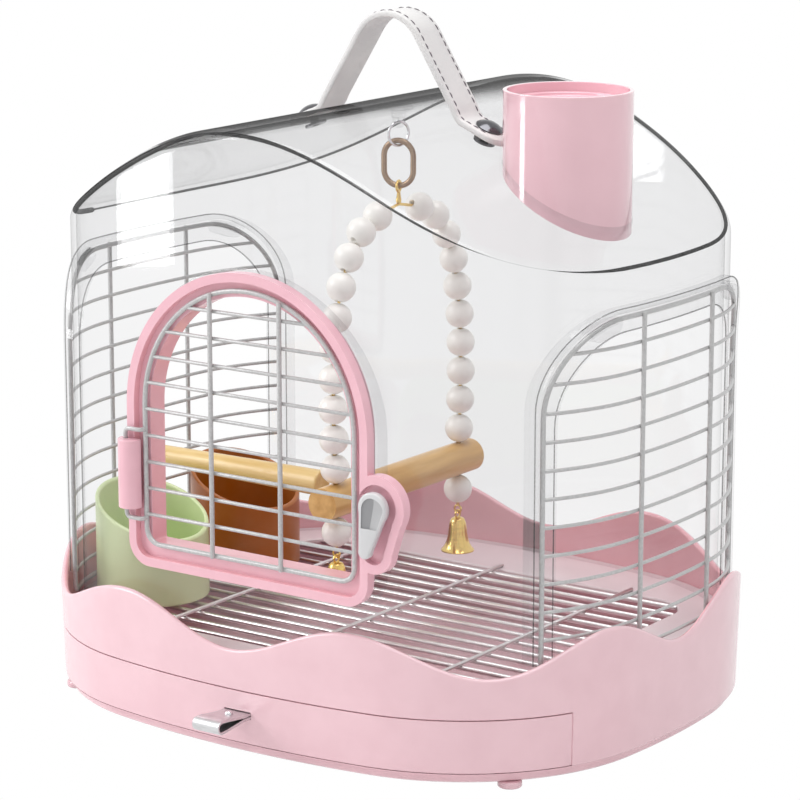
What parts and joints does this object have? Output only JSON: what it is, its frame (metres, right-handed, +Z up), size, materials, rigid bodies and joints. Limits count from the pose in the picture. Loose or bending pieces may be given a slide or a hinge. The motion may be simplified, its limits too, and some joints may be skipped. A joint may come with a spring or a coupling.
{
  "type": "portable bird cage",
  "caption": "Clear gabled cage cover on a bowed tray with slide-out drawer, arched wire door, side grilles, feeder tube, strap handle, bead swing, perch and cups.",
  "frame": {"origin": "on the ground under the middle of the tray", "axes": "+X to the right along the drawer front, -Y towards the front with the drawer's pull tab, +Z up"},
  "size_m": [0.3, 0.2744, 0.309],
  "materials": {
    "pink_plastic": "glossy",
    "ledge_plastic": "glossy",
    "clear_plastic": "clear and glossy",
    "wire": "satin",
    "steel": "brushed",
    "dark_metal": "polished",
    "strap_leather": "smooth",
    "grey_plastic": "satin",
    "bronze": "antique",
    "brass": "polished",
    "bead_plastic": "glossy",
    "wood": "satin",
    "green_plastic": "satin",
    "brown_plastic": "satin"
  },
  "bodies": {
    "tray_unit": {"tray": "pink_plastic", "foot_pads": "pink_plastic", "ledge": "ledge_plastic", "grate": "wire", "grate_bars": "wire"},
    "drawer_unit": {"drawer": "pink_plastic", "pull_tab": "steel", "tab_rivet": "steel"},
    "cover_unit": {"roof": "clear_plastic", "front_wall": "clear_plastic", "back_wall": "clear_plastic", "left_wall": "clear_plastic", "right_wall": "clear_plastic", "door_frame": "pink_plastic", "hinge_barrel": "pink_plastic", "latch_pin": "steel", "left_grille": "wire", "right_grille": "wire", "grille_clips": "clear_plastic", "feeder_tube": "pink_plastic", "handle_strap": "strap_leather", "handle_rivets": "dark_metal", "swing_hook": "clear_plastic", "side_perch": "wood", "perch_screw": "steel", "perch_washers": "steel"},
    "door_unit": {"wire_door": "wire"},
    "latch_unit": {"latch_knob": "grey_plastic"},
    "lid_unit": {"feeder_lid": "pink_plastic"},
    "ring_unit": {"split_ring": "steel"},
    "swing_unit": {"oval_link": "bronze", "swing_eye": "brass", "swing_wire": "brass", "near_beads": "bead_plastic", "far_beads": "bead_plastic", "end_beads": "bead_plastic", "swing_perch": "wood"},
    "near_bell_unit": {"near_bell": "brass", "near_clapper": "bronze"},
    "far_bell_unit": {"far_bell": "brass", "far_clapper": "bronze"},
    "green_cup_unit": {"green_cup": "green_plastic"},
    "brown_cup_unit": {"brown_cup": "brown_plastic"}
  },
  "joints": [
    {"name": "drawer_slide", "type": "slide", "parent": "tray_unit", "child": "drawer_unit", "axis": [0, -1, 0], "range_m": [0, 0.15]},
    {"name": "cover_lift", "type": "slide", "parent": "tray_unit", "child": "cover_unit", "axis": [0, 0, 1], "range_m": [0, 0.06]},
    {"name": "door_hinge", "type": "hinge", "parent": "cover_unit", "child": "door_unit", "pos_m": [-0.0545, -0.1253, 0.1178], "axis": [0, 0, -1], "range_deg": [0, 110]},
    {"name": "latch_turn", "type": "hinge", "parent": "cover_unit", "child": "latch_unit", "pos_m": [0.07652, -0.1255, 0.12126], "axis": [0, 1, 0], "range_deg": [0, 90]},
    {"name": "lid_lift", "type": "slide", "parent": "cover_unit", "child": "lid_unit", "axis": [0, 0, 1], "range_m": [0, 0.03]},
    {"name": "ring_swing", "type": "hinge", "parent": "cover_unit", "child": "ring_unit", "pos_m": [0, 0, 0.25945], "axis": [0.342, 0.9397, 0], "range_deg": [-8, 8]},
    {"name": "swing_rock", "type": "hinge", "parent": "ring_unit", "child": "swing_unit", "pos_m": [0, 0, 0.251], "axis": [1, 0, 0], "range_deg": [-12, 12]},
    {"name": "near_bell_swing", "type": "hinge", "parent": "swing_unit", "child": "near_bell_unit", "pos_m": [0, -0.04752, 0.071], "axis": [1, 0, 0], "range_deg": [-20, 20]},
    {"name": "far_bell_swing", "type": "hinge", "parent": "swing_unit", "child": "far_bell_unit", "pos_m": [0, 0.04752, 0.071], "axis": [1, 0, 0], "range_deg": [-20, 20]},
    {"name": "green_cup_lift", "type": "slide", "parent": "tray_unit", "child": "green_cup_unit", "axis": [0, 0, 1], "range_m": [0, 0.03]},
    {"name": "brown_cup_lift", "type": "slide", "parent": "tray_unit", "child": "brown_cup_unit", "axis": [0, 0, 1], "range_m": [0, 0.03]}
  ]
}
